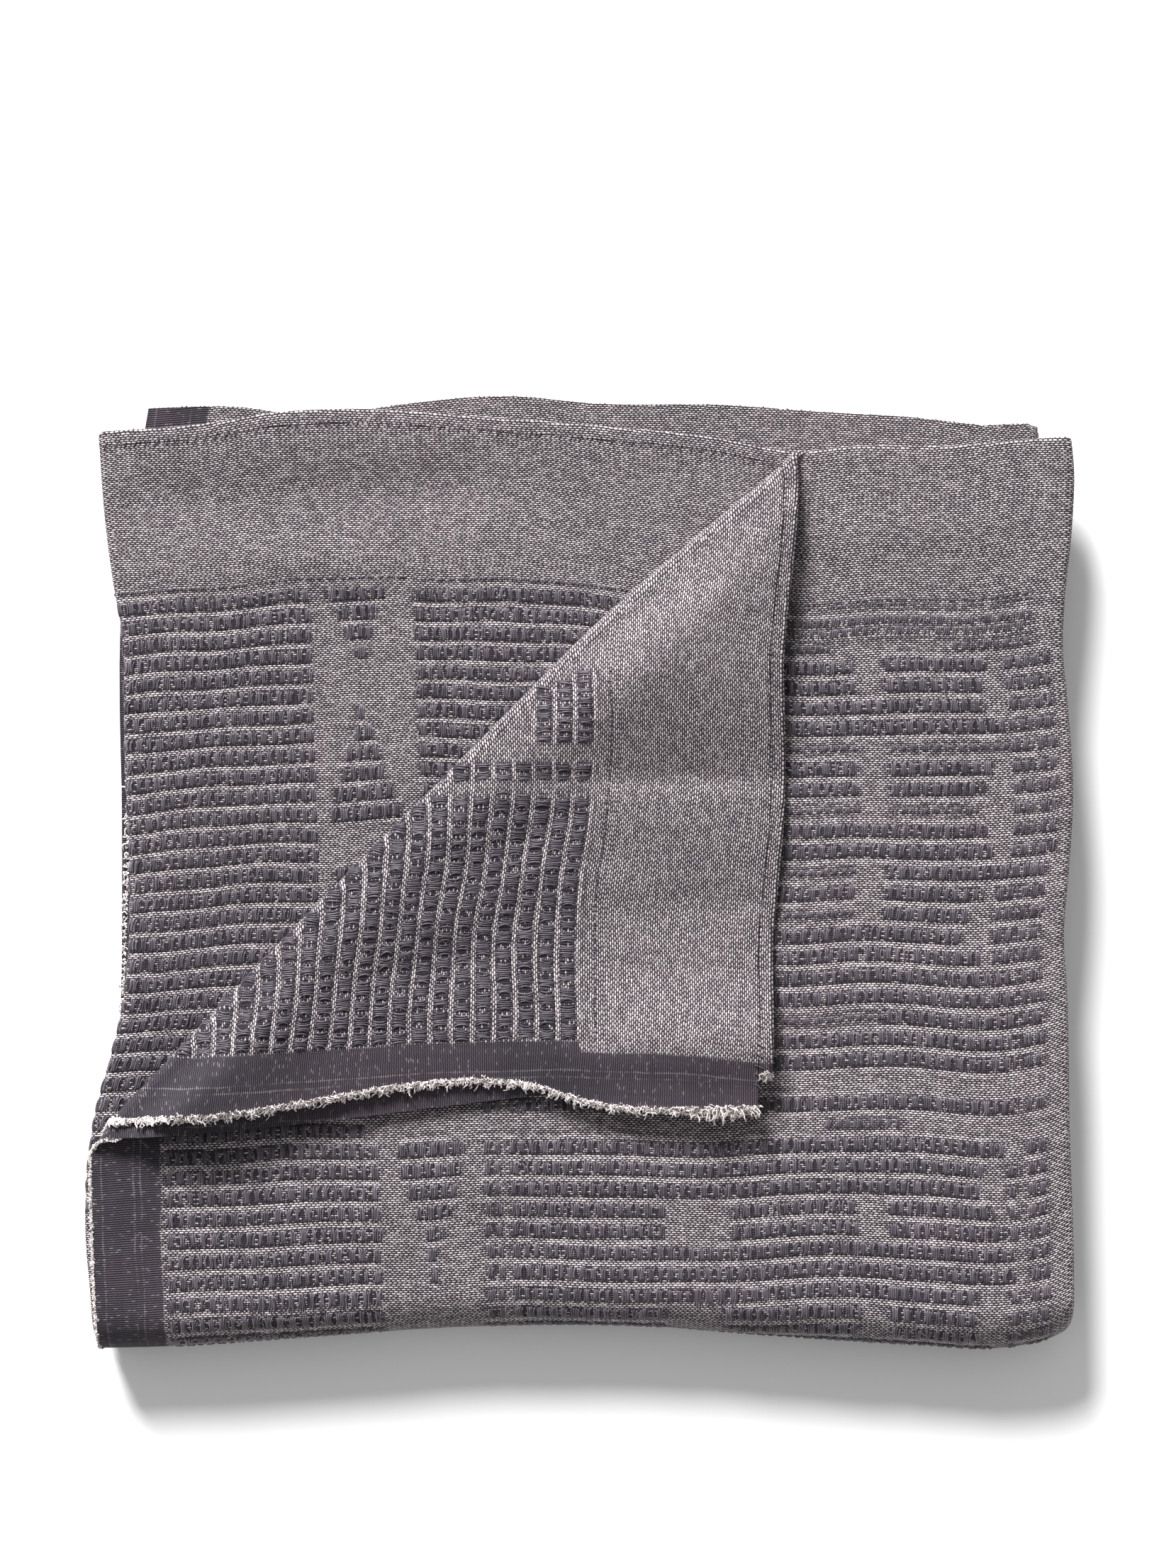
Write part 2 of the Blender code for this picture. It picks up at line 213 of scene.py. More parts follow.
def leafCurve(tables, leaf, at):
    lower = np.clip(np.floor(leaf).astype(int), 0, cloth["leaves"] - 1)
    upper = np.minimum(lower + 1, cloth["leaves"] - 1)
    edges = np.array([curve(table, at) for table in tables])
    column = np.arange(len(at))
    return between(edges[lower, column], edges[upper, column], leaf - lower)


def swell(table, x, y):
    total = np.zeros_like(x)
    for midX, midY, reachX, reachY, height in table:
        total += height * np.exp(-(((x - midX) / reachX) ** 2) - ((y - midY) / reachY) ** 2)
    return total


def trimmed(u, v, endTable):
    short = np.maximum(curve(endTable, np.abs(v)), 0.0005)
    u = u + short * np.clip(1 - u / cloth["rawEndFade"], 0, 1)
    return u - 0.5 * short * np.clip(1 - (clothLength - u) / cloth["rawEndFade"], 0, 1)


def foldAtSeam(v, n):
    angle = np.clip(v / seamFoldRadius, -pi / 2, pi / 2)
    radius = seamFoldRadius + n
    back = seamFoldRadius - radius * np.cos(angle) + np.maximum(np.abs(v) - seamFoldHalf, 0)
    return back, pitch / 2 + radius * np.sin(angle)


def turnCorner(u, back, height):
    past = (corner["sum"] - u - back) / sqrt(2)
    angle = pi * np.clip(past / cornerTurn, 0, 1)
    radius = corner["radius"] + pitch - height
    over = np.maximum(past - cornerTurn, 0)
    moved = np.where(past > 0, past - radius * np.sin(angle) + over, 0) / sqrt(2)
    lifted = 7 * pitch + corner["radius"] - radius * np.cos(angle)
    lifted = lifted - (2 * corner["radius"] - pitch) * smooth(over / corner["settle"])
    newU = u + moved
    newBack = back + moved
    newU = newU - corner["lean"] * newBack * smooth(over / corner["leanRun"])
    lift = curve(rawLift, back) * (1 - corner["underLayer"] * height / pitch)
    lifted = lifted + lift * smooth((corner["liftRun"] - u) / corner["liftRun"]) * smooth(over / corner["liftFade"])
    roll = smooth(over / corner["rollRun"]) * (1 - smooth((over - corner["rollRun"]) / corner["rollFall"]))
    lifted = lifted + corner["roll"] * roll
    level = np.where(past > 0, lifted, 6 * pitch + height)
    return newU, newBack, level, over


def foldFan(u, back, height):
    step = np.clip(np.floor(u / leafStep).astype(int), 0, cloth["leaves"] - 1)
    along = u - step * leafStep
    f = along / leafLength
    inTurn = (along > leafLength) & (step < cloth["leaves"] - 1)
    angle = pi * np.clip((along - leafLength) / leafTurn, 0, 1) * inTurn
    axes = (
        curve(rawLeft, back),
        curve(topRightTurn, back) - turnReach,
        curve(leftTurn, back) + turnReach,
        curve(lowRightTurn, back) - turnReach,
        curve(lastEnd, back),
    )
    flatLevels = (6 * pitch + height, 5 * pitch - height, 2 * pitch + height, pitch - height)
    x = np.zeros_like(u)
    level = np.zeros_like(u)
    for k in range(cloth["leaves"]):
        here = (step == k) & ~inTurn
        x = np.where(here, between(axes[k], axes[k + 1], f), x)
        level = np.where(here, flatLevels[k], level)
    for k, axisLevel in enumerate(turnLevels):
        here = (step == k) & inTurn
        side = 1 if k % 2 == 0 else -1
        radius = pitch / 2 + (height if side > 0 else pitch - height)
        x = np.where(here, axes[k + 1] + side * radius * np.sin(angle), x)
        level = np.where(here, axisLevel * pitch + radius * np.cos(angle), level)
    return x, level, step + angle / pi


def foldUnder(x, back, level, leaf):
    frontAxis = curve(frontEdge, x) + frontReach + half
    radius = level + pitch / 2
    angle = pi * np.clip((back - frontStart) / frontTurn, 0, 1)
    f = (back - lowerStart) / (cloth["panelWidth"] - lowerStart)
    upper = between(leafCurve(backEdges, leaf, x), frontAxis, back / frontStart)
    lower = between(frontAxis, leafCurve(selvages, leaf, x), f)
    y = np.where(back < frontStart, upper, frontAxis - radius * np.sin(angle))
    y = np.where(back > lowerStart, lower, y)
    return y, radius * np.cos(angle) - pitch / 2 + cloth["stackLayers"] * pitch + half


def ridges(table, x, y):
    total = np.zeros_like(x)
    for startX, startY, endX, endY, width, height in table:
        runX, runY = endX - startX, endY - startY
        length = np.hypot(runX, runY)
        along = ((x - startX) * runX + (y - startY) * runY) / length
        across = ((x - startX) * runY - (y - startY) * runX) / length
        ends = smooth((along + width) / (2 * width)) * smooth((length + width - along) / (2 * width))
        total += height * np.exp(-((across / width) ** 2)) * ends
    return total


def settle(x, y, z, u, back, height, over, flatU):
    upper = smooth((frontStart - back) / 0.05)
    onTop = upper * smooth((leafLength - u) / 0.04)
    revealed = upper * smooth((u - leafStep) / 0.04) * smooth((pitch - height) / pitch)
    clear = fade(y - x, seen["line"])
    z = z + onTop * (swell(topSwells, x, y) + ridges(topRidges, x, y))
    z = z + revealed * clear * (swell(secondSwells, x, y) + ridges(secondRidges, x, y))
    second = upper * smooth((flatU - leafLength) / leafTurn) * smooth((2 * leafStep - leafTurn - flatU) / 0.035)
    z = z + second * fade(y - x, seen["liftLine"]) * curve(secondLift, x) * fade(y, seen["liftBack"])
    z = z + smooth(over / 0.03) * (curve(flapBillow, y) * curve(flapShare, x) + ridges(flapRidges, x, y))
    uneven = 0.6 * np.sin(9.0 * x + 5.0 * y + 0.8) + 0.4 * np.sin(7.0 * y - 8.0 * x)
    return z * (1 + cloth["uneven"] * uneven)


def foldedPlaces(points):
    u, v, n = points.T
    back, height = foldAtSeam(v, n)
    atCorner = (u < leafLength) & (back < frontStart)
    turnedU, turnedBack, turnedLevel, over = turnCorner(u, back, height)
    placeU = np.where(atCorner, turnedU, u)
    placeBack = np.where(atCorner, turnedBack, back)
    x, level, leaf = foldFan(placeU, placeBack, height)
    level = np.where(atCorner, turnedLevel, level)
    y, z = foldUnder(x, placeBack, level, leaf)
    z = settle(x, y, z, placeU, placeBack, height, np.where(atCorner, over, 0), u)
    return np.column_stack([x - cloth["centre"][0], y - cloth["centre"][1], z]), level


def bendExtra(v, level):
    gain = pi * (level + pitch / 2) - frontTurn  # the bend's true length, against the v it takes
    return np.sign(v) * gain * np.clip((np.abs(v) - foldExtra - frontStart) / frontTurn, 0, 1)


# Where the woven rows run, in metres from the back fold before their slow bow is added

rowsFront = {"start": 0.1008, "pitch": 0.00942, "count": 40, "floatLength": 0.0064, "bow": 0.0088}
rowsBack = {
    "startEnd": 0.0924, "pitchEnd": 0.0094, "count": 24,
    "startSecond": 0.0812, "pitchSecond": 0.00876, "countSecond": 31, "floatLength": 0.007,
}
warpsPerRow = 9.5
warpPitch = 0.00099
hiddenBlocks = ((0.0335, 0.1235), (0.188, 0.343), (0.357, 0.405))  # along each hidden leaf
hiddenRows = (0.098, 0.742)


def bowFront(u, v):
    depth = smooth((v - 0.18) / 0.13) * rowsFront["bow"]
    along = 0.62 + 0.38 * smooth((u - 0.08) / 0.1) - smooth((u - 0.23) / 0.13)
    return depth * along + 0.0006 * np.sin(u * 41 + v * 9) + 0.0004 * np.sin(u * 88 - v * 31)


def rowFront(u, v):
    return (v - bowFront(u, np.maximum(v, 0)) - rowsFront["start"]) / rowsFront["pitch"]


def rowBack(u, v):
    v = np.abs(v) - bowBack(u, np.abs(v))
    atEnd = (v - rowsBack["startEnd"]) / rowsBack["pitchEnd"]
    atSecond = (v - rowsBack["startSecond"]) / rowsBack["pitchSecond"]
    return between(atEnd, atSecond, smooth((u - 0.32) / 0.18))


def bowBack(u, v):
    hump = 0.0012 * np.sin((u - 0.74) * 36) * smooth((u - 0.5) / 0.1) * smooth((0.9 - u) / 0.05)
    return hump + 0.0005 * np.sin(u * 60 + v * 25) + 0.0003 * np.sin(u * 130 - v * 70)


# Panels: flat sheets, cut at their folds, then folded

panelMesh = {
    "topStep": 0.0041, "lowStep": 0.012, "underStep": 0.02,
    "turnParts": 10, "seamFoldParts": 8, "frontParts": 16, "cornerParts": 10,
}


def stations(start, end, step):
    return list(np.linspace(start, end, max(1, round((end - start) / step)) + 1))


def lengthwiseStations():
    places = []
    for leaf in range(cloth["leaves"]):
        start = leaf * leafStep
        places += stations(start, start + leafLength, panelMesh["topStep"] if leaf < 2 else panelMesh["lowStep"])
        if leaf < cloth["leaves"] - 1:
            places += list(np.linspace(start + leafLength, start + leafStep, panelMesh["turnParts"] + 1)[1:-1])
    return sorted(set(places))


def crosswiseStations(inner):
    front = frontStart + foldExtra
    upper = stations(inner, front, panelMesh["topStep"])
    turn = list(np.linspace(front, front + frontTurn, panelMesh["frontParts"] + 1)[1:-1])
    return upper + turn + stations(front + frontTurn, cloth["panelWidth"] + foldExtra, panelMesh["underStep"])


def flatSheet(us, vs, endTable):
    sheet = bmesh.new()
    bmesh.ops.create_grid(sheet, x_segments=len(us) - 1, y_segments=len(vs) - 1, size=0.5)
    sheet.verts.ensure_lookup_table()
    places = np.array([vert.co for vert in sheet.verts])
    u = np.array(us)[np.round((places[:, 0] + 0.5) * (len(us) - 1)).astype(int)]
    v = np.array(vs)[np.round((places[:, 1] + 0.5) * (len(vs) - 1)).astype(int)]
    u = trimmed(u, v, endTable)
    for vert, x, y in zip(sheet.verts, u, v):
        vert.co = (x, y, 0.0)
    return sheet


def scoreCorner(sheet):
    for side in (1, -1):
        for part in range(panelMesh["cornerParts"] + 1):
            sheet.verts.index_update(); sheet.edges.index_update()
            past = cornerTurn * part / panelMesh["cornerParts"]
            line = corner["sum"] + foldExtra - past * sqrt(2)
            near = []
            for face in sheet.faces:
                at = face.calc_center_median()
                if 0 < at.y * side < frontStart and at.x < leafLength and abs(at.x + side * at.y - line) < 0.012:
                    near.append(face)
            edges = {edge for face in near for edge in face.edges}
            verts = {vert for face in near for vert in face.verts}
            geom = near + sorted(edges, key=lambda e: e.index) + sorted(verts, key=lambda v: v.index)
            bmesh.ops.bisect_plane(sheet, geom=geom, dist=0.0003, plane_co=(line, 0, 0), plane_no=(1, side, 0))


def newObject(name, data):
    obj = bpy.data.objects.new(name, data)
    bpy.context.collection.objects.link(obj)
    return obj


def foldMesh(mesh):
    flat = np.empty(len(mesh.vertices) * 3)
    mesh.vertices.foreach_get("co", flat)
    flat = flat.reshape(-1, 3)
    places, level = foldedPlaces(flat)
    mesh.vertices.foreach_set("co", places.ravel())
    mesh.polygons.foreach_set("use_smooth", [True] * len(mesh.polygons))
    return flat, level


def store(mesh, name, values, kind="FLOAT"):
    attribute = mesh.attributes.new(name, kind, "POINT")
    attribute.data.foreach_set("value" if kind == "FLOAT" else "vector", np.asarray(values, dtype=float).ravel())


def rowShare(u, row, spans):
    edge = 0.0012
    found = np.zeros_like(u)
    for at, uStart, uEnd, share in spans:
        inside = smooth((0.62 - np.abs(row - at)) / 0.12)
        inside = inside * smooth((u - uStart + edge) / edge) * smooth((uEnd + edge - u) / edge)
        found = np.maximum(found, inside * share)
    return found


def hiddenShare(u, v):
    # out of sight the rows are painted, in blocks
    def inside(at, start, end):
        return smooth((at - start) / 0.004) * smooth((end - at) / 0.004)

    blocks = np.max([inside(u % leafStep, *block) for block in hiddenBlocks], axis=0)
    return blocks * inside(np.abs(v), *hiddenRows)


def panelPiece(name, vs, endTable, rowOf, spans, material):
    sheet = flatSheet(lengthwiseStations(), vs, endTable)
    scoreCorner(sheet)
    raised = bmesh.ops.extrude_face_region(sheet, geom=sheet.faces[:])["geom"]
    lifted = [item for item in raised if isinstance(item, bmesh.types.BMVert)]
    bmesh.ops.translate(sheet, verts=lifted, vec=(0, 0, cloth["thickness"]))
    bmesh.ops.translate(sheet, verts=sheet.verts[:], vec=(0, 0, -half))
    bmesh.ops.recalc_face_normals(sheet, faces=sheet.faces[:])
    bmesh.ops.reverse_faces(sheet, faces=sheet.faces[:])  # the folds turn u, v, n into a left-handed frame
    mesh = bpy.data.meshes.new(name)
    sheet.to_mesh(mesh)
    sheet.free()
    flat, level = foldMesh(mesh)
    u = flat[:, 0]
    v = flat[:, 1] + bendExtra(flat[:, 1], level)
    row = rowOf(u, v)
    loops = np.empty(len(mesh.loops), dtype=np.int32)
    mesh.loops.foreach_get("vertex_index", loops)
    layer = mesh.uv_layers.new(name="weave")
    layer.data.foreach_set("uv", np.column_stack([u, row * warpsPerRow * warpPitch])[loops].ravel())
    hidden = np.maximum(smooth((u - 2 * leafStep + leafTurn) / 0.01), smooth((np.abs(flat[:, 1]) - 0.413) / 0.004))
    # how much the woven rows show here
    store(mesh, "rows", between(rowShare(u, row, spans), hiddenShare(u, flat[:, 1]), hidden))
    mesh.set_sharp_from_angle(angle=radians(50))
    mesh.materials.append(material)
    return newObject(name, mesh)


# Materials

yarns = {
    "cream": (0.53, 0.48, 0.484), "creamWorn": (0.275, 0.24, 0.251), "dark": (0.024, 0.02, 0.027),
    "darkWarm": (0.04, 0.0295, 0.039), "clothRoughness": 0.88,
    "darkThread": ((0.009, 0.0078, 0.0135), (0.116, 0.096, 0.12), 0.45, 0.15),  # darkest, palest, roughness, sheen
    "creamThread": ((0.58, 0.52, 0.5), (0.93, 0.86, 0.84), 0.85, 0.3),
    "streaks": ((22.0, 420.0, 1.0), (380.0, 18.0, 1.0)),
}
weave = {
    "dashPitch": 0.0022, "dashShare": 0.78, "dashWidth": 0.66, "rowJitter": 0.22,
    "wander": 0.0008, "wanderScale": 210.0, "bumpDepth": 0.00024, "gapShade": 0.66,
    "bundlePitch": 0.0033, "threadPitch": 0.0011, "specksAbove": 0.68, "lineBrightness": 0.26,
    "endBandFront": 0.031, "endBandBack": 0.036, "fleckStrength": 0.2, "dotStrength": 0.4,
    "dottedLines": ((0.005, 0.0005), (0.0195, 0.0006), (0.0225, 0.0005)),  # from the end, half-width
}


class Tree:
    def __init__(self, tree):
        self.tree = tree

    def add(self, kind, values=(), **settings):
        node = self.tree.nodes.new(kind)
        for key, value in settings.items():
            setattr(node, key, value)
        for key, value in dict(values).items():
            self.feed(node.inputs[key], value)
        return node

    def feed(self, socket, value):
        if isinstance(value, bpy.types.NodeSocket):
            self.tree.links.new(value, socket)
        elif value is not None:
            socket.default_value = value

    def math(self, operation, a, b=None, c=None):
        node = self.tree.nodes.new("ShaderNodeMath")
        node.operation = operation
        for socket, value in zip(node.inputs, (a, b, c)):
            self.feed(socket, value)
        return node.outputs[0]

    def times(self, a, b):
        return self.math("MULTIPLY", a, b)

    def line(self, a, slope, start):
        return self.math("MULTIPLY_ADD", a, slope, start)

    def most(self, a, b):
        return self.math("MAXIMUM", a, b)

    def cell(self, a, size=1.0):
        # the cell's number, and how far from its middle the place is
        place = self.math("DIVIDE", a, size)
        off = self.math("ABSOLUTE", self.math("SUBTRACT", self.math("FRACT", place), 0.5))
        return self.math("FLOOR", place), off

    def vector(self, operation, a, b=None, scale=None):
        values = {0: a, "Scale": scale} if b is None else {0: a, 1: b}
        return self.add("ShaderNodeVectorMath", values, operation=operation).outputs[0]

    def axes(self, vector):
        return self.add("ShaderNodeSeparateXYZ", {0: vector}).outputs

    def ramp(self, value, low, high, outLow=0.0, outHigh=1.0):
        given = {"Value": value, "From Min": low, "From Max": high, "To Min": outLow, "To Max": outHigh}
        return self.add("ShaderNodeMapRange", given, interpolation_type="SMOOTHSTEP").outputs["Result"]

    def noise(self, vector, scale, detail=2.0, output="Fac"):
        return self.add("ShaderNodeTexNoise", {"Vector": vector, "Scale": scale, "Detail": detail}).outputs[output]

    def chance(self, value):
        return self.add("ShaderNodeTexWhiteNoise", {"W": value}, noise_dimensions="1D").outputs["Value"]

    def group(self, name, values):
        return self.add("ShaderNodeGroup", values, node_tree=groups[name]).outputs

    def bump(self, height, strength, distance):
        values = {"Height": height, "Strength": strength, "Distance": distance}
        return self.add("ShaderNodeBump", values).outputs[0]

    def mix(self, share, a, b):
        node = self.tree.nodes.new("ShaderNodeMix")
        node.data_type = "RGBA"
        for index, value in ((0, share), (6, a), (7, b)):
            self.feed(node.inputs[index], value)
        return node.outputs[2]

    def join(self, x, y, z=0.0):
        return self.add("ShaderNodeCombineXYZ", {"X": x, "Y": y, "Z": z}).outputs[0]


def newGroup(name, inputs, outputs):
    group = bpy.data.node_groups.new(name, "ShaderNodeTree")
    for label, value in inputs.items():
        kind = "NodeSocketVector" if value is None else "NodeSocketFloat"
        socket = group.interface.new_socket(label, in_out="INPUT", socket_type=kind)
        if value is not None:
            socket.default_value = value
    for label in outputs:
        group.interface.new_socket(label, in_out="OUTPUT", socket_type="NodeSocketFloat")
    tree = Tree(group)
    return tree, tree.add("NodeGroupInput").outputs, tree.add("NodeGroupOutput").inputs


def plainWeaveGroup():
    tree, given, made = newGroup("plainWeave", {"Place": None, "Line": 0.0}, ("Cream", "Height", "Brightness"))
    drift = tree.noise(given["Place"], weave["wanderScale"], 3.0, "Color")
    offset = tree.vector("SCALE", tree.vector("SUBTRACT", drift, (0.5, 0.5, 0.5)), scale=weave["wander"])
    axes = tree.axes(tree.vector("ADD", given["Place"], offset))
    row, across = tree.cell(axes["Y"], warpPitch)
    odd = tree.math("FLOORED_MODULO", row, 2.0)
    shift = tree.line(odd, 0.5, tree.times(tree.chance(row), weave["rowJitter"]))
    cell, along = tree.cell(tree.math("ADD", tree.math("DIVIDE", axes["X"], weave["dashPitch"]), shift))
    speckle = tree.add("ShaderNodeTexWhiteNoise", {"Vector": tree.join(cell, row)}, noise_dimensions="2D")
    cellNoise = speckle.outputs["Value"]
    length = tree.line(cellNoise, 0.12, tree.line(given["Line"], 0.03, weave["dashShare"] / 2 - 0.08))
    width = tree.line(cellNoise, 0.1, tree.line(given["Line"], 0.08, weave["dashWidth"] / 2 - 0.06))
    endways = tree.math("POWER", tree.math("DIVIDE", along, length), 2.6)
    sideways = tree.math("POWER", tree.math("DIVIDE", across, width), 2.2)
    oval = tree.math("ADD", endways, sideways)
    weft = tree.times(tree.ramp(across, 0.5, 0.1), 0.45)
    tree.feed(made["Cream"], tree.ramp(oval, 1.22, 0.72))
    tree.feed(made["Height"], tree.most(tree.ramp(oval, 1.3, 0.0), weft))
    tree.feed(made["Brightness"], cellNoise)
    return tree.tree


def wovenRowsGroup():
    inputs = {"Place": None, "Float Share": 0.75, "Rows": 0.0}
    tree, given, made = newGroup("wovenRows", inputs, ("Float", "Line", "Height"))
    axes = tree.axes(given["Place"])
    number, off = tree.cell(tree.math("ADD", tree.math("DIVIDE", axes["Y"], warpsPerRow * warpPitch), 0.5))
    inside = tree.ramp(tree.math("SUBTRACT", off, tree.math("DIVIDE", given["Float Share"], 2.0)), 0.012, -0.012)
    jitter = tree.line(tree.noise(given["Place"], 90.0, 1.0), 1.2, tree.chance(number))
    bundle = tree.math("ADD", tree.math("DIVIDE", axes["X"], weave["bundlePitch"]), jitter)
    gap = tree.ramp(tree.cell(bundle)[1], 0.4, 0.47)
    ridge = tree.ramp(tree.cell(axes["X"], weave["threadPitch"])[1], 0.5, 0.1)
    # the floats' dark ground: their own yarn out of sight, painted shade between the laid threads
    solid = tree.times(tree.times(inside, given["Rows"]), tree.line(gap, -0.75, 1.0))
    broken = tree.ramp(tree.noise(given["Place"], 260.0), 0.36, 0.58, 0.35, 1.0)
    line = tree.times(tree.ramp(off, 0.385, 0.43), broken)
    tree.feed(made["Float"], solid)
    tree.feed(made["Line"], tree.times(line, given["Rows"]))
    tree.feed(made["Height"], tree.times(ridge, solid))
    return tree.tree


def yarnToneGroup():
    tree, given, made = newGroup("yarnTone", {"Place": None, "Solid Place": None}, ("Cloud", "Streak", "Warm"))
    stretched = [tree.vector("MULTIPLY", given["Place"], stretch) for stretch in yarns["streaks"]]
    streaks = [tree.noise(place, 1.0, 1.0) for place in stretched]
    tree.feed(made["Cloud"], tree.noise(given["Solid Place"], 9.0, 3.0))
    tree.feed(made["Streak"], tree.times(tree.math("ADD", *streaks), 0.5))
    tree.feed(made["Warm"], tree.noise(given["Solid Place"], 14.0))
    return tree.tree


groups = {"weave": plainWeaveGroup(), "rows": wovenRowsGroup(), "tone": yarnToneGroup()}


def newMaterial(name, **settings):
    material = bpy.data.materials.new(name)
    material.use_nodes = True
    inputs = material.node_tree.nodes["Principled BSDF"].inputs
    for key, value in settings.items():
        inputs[key.replace("_", " ")].default_value = value
    return material, Tree(material.node_tree), inputs


def colour(value):
    return (*value, 1.0)


def clothMaterial(name, floatShare, endBand):
    material, tree, shader = newMaterial(name, Roughness=yarns["clothRoughness"], Specular_IOR_Level=0.3)
    place = tree.add("ShaderNodeUVMap", uv_map="weave").outputs[0]
    solid = tree.add("ShaderNodeTexCoord").outputs["Object"]
    charted = tree.add("ShaderNodeAttribute", attribute_name="rows").outputs["Fac"]
    rows = tree.group("rows", {"Place": place, "Float Share": floatShare, "Rows": charted})
    plain = tree.group("weave", {"Place": place, "Line": rows["Line"]})
    tone = tree.group("tone", {"Place": place, "Solid Place": solid})
    axes = tree.axes(place)
    # end bands of both raw ends: the weft covers the warp, but for dotted lines and flecks
    fromEnd = tree.math("MINIMUM", axes["X"], tree.math("SUBTRACT", clothLength, axes["X"]))
    wavy = tree.line(tree.noise(solid, 30.0), 0.004, tree.math("SUBTRACT", fromEnd, 0.002))
    bandEnd = tree.ramp(axes["Y"], -0.006, -0.0044, weave["endBandFront"], endBand)
    band = tree.ramp(tree.math("SUBTRACT", wavy, bandEnd), 0.0006, -0.0006)
    dotted = 0.0
    for at, wide in weave["dottedLines"]:
        off = tree.math("ABSOLUTE", tree.math("SUBTRACT", wavy, at))
        dotted = tree.most(dotted, tree.ramp(off, wide, wide * 0.4))
    rib = tree.ramp(tree.cell(axes["Y"], warpPitch)[1], 0.5, 0.05)
    dots = tree.times(dotted, tree.ramp(rib, 0.45, 0.75))
    dots = tree.times(dots, tree.ramp(tone["Streak"], 0.42, 0.6, 0.05, weave["dotStrength"]))
    flecks = tree.times(plain["Cream"], tree.ramp(plain["Brightness"], 0.82, 0.98, 0.0, weave["fleckStrength"]))
    # the floats' ground, painted dark: out of sight it is the floats' own dark yarn, under the laid threads it is
    # painted shade between them; some cream dashes are left to show between the threads
    specks = tree.line(tree.math("GREATER_THAN", plain["Brightness"], weave["specksAbove"]), -0.75, 1.0)
    covered = tree.most(tree.times(band, 0.97), tree.times(rows["Float"], specks))
    creamShare = tree.times(plain["Cream"], tree.math("SUBTRACT", 1.0, covered))
    creamShare = tree.most(creamShare, tree.times(tree.most(flecks, dots), band))
    bright = tree.line(plain["Brightness"], 0.55, tree.line(tone["Cloud"], 0.4, 0.1))
    bright = tree.line(rows["Line"], weave["lineBrightness"], bright)
    cream = tree.mix(bright, colour(yarns["creamWorn"]), colour(yarns["cream"]))
    dark = tree.mix(tree.ramp(tone["Warm"], 0.35, 0.7), colour(yarns["dark"]), colour(yarns["darkWarm"]))
    streaky = tree.times(tree.line(tone["Streak"], 0.9, 0.55), tree.line(band, -0.5, 1.0))
    # painted highlight along the middle of each rib in the end bands, painted shade between the ribs
    ribLightAndShade = tree.times(band, tree.line(rib, 1.7, 0.15))
    dark = tree.vector("SCALE", dark, scale=tree.line(ribLightAndShade, 0.72, streaky))
    # painted shade in the gaps between the dashes, then the yarns' own streaky tone
    shade = tree.ramp(plain["Height"], 0.0, 0.55, weave["gapShade"], 1.0)
    shade = tree.times(shade, tree.line(tone["Streak"], 0.5, 0.78))
    tree.feed(shader["Base Color"], tree.vector("SCALE", tree.mix(creamShare, dark, cream), scale=shade))
    height = tree.math("ADD", tree.mix(covered, plain["Height"], tree.times(rib, 0.8)), rows["Height"])
    tree.feed(shader["Normal"], tree.bump(height, 1.0, weave["bumpDepth"]))
    return material


def threadMaterial(name, low, high, roughness, sheen):
    material, tree, shader = newMaterial(name, Roughness=roughness, Sheen_Weight=sheen, Sheen_Roughness=0.4)
    tone = tree.add("ShaderNodeAttribute", attribute_name="tone").outputs["Fac"]
    fibre = tree.noise(tree.add("ShaderNodeTexCoord").outputs["Object"], 900.0)
    share = tree.line(fibre, 0.5, tree.times(tone, 0.75))
    tree.feed(shader["Base Color"], tree.mix(share, colour(low), colour(high)))
    tree.feed(shader["Normal"], tree.bump(fibre, 0.5, 0.0001))
    return material


frontCloth = clothMaterial("wovenClothFront", rowsFront["floatLength"] / rowsFront["pitch"], weave["endBandFront"])
backCloth = clothMaterial("wovenClothBack", rowsBack["floatLength"] / rowsBack["pitchEnd"], weave["endBandBack"])
darkThread = threadMaterial("darkThread", *yarns["darkThread"])
creamThread = threadMaterial("creamThread", *yarns["creamThread"])
print("materials made")


# Threads: one Geometry Nodes tree bends a short rod at every point, then the folds carry the result


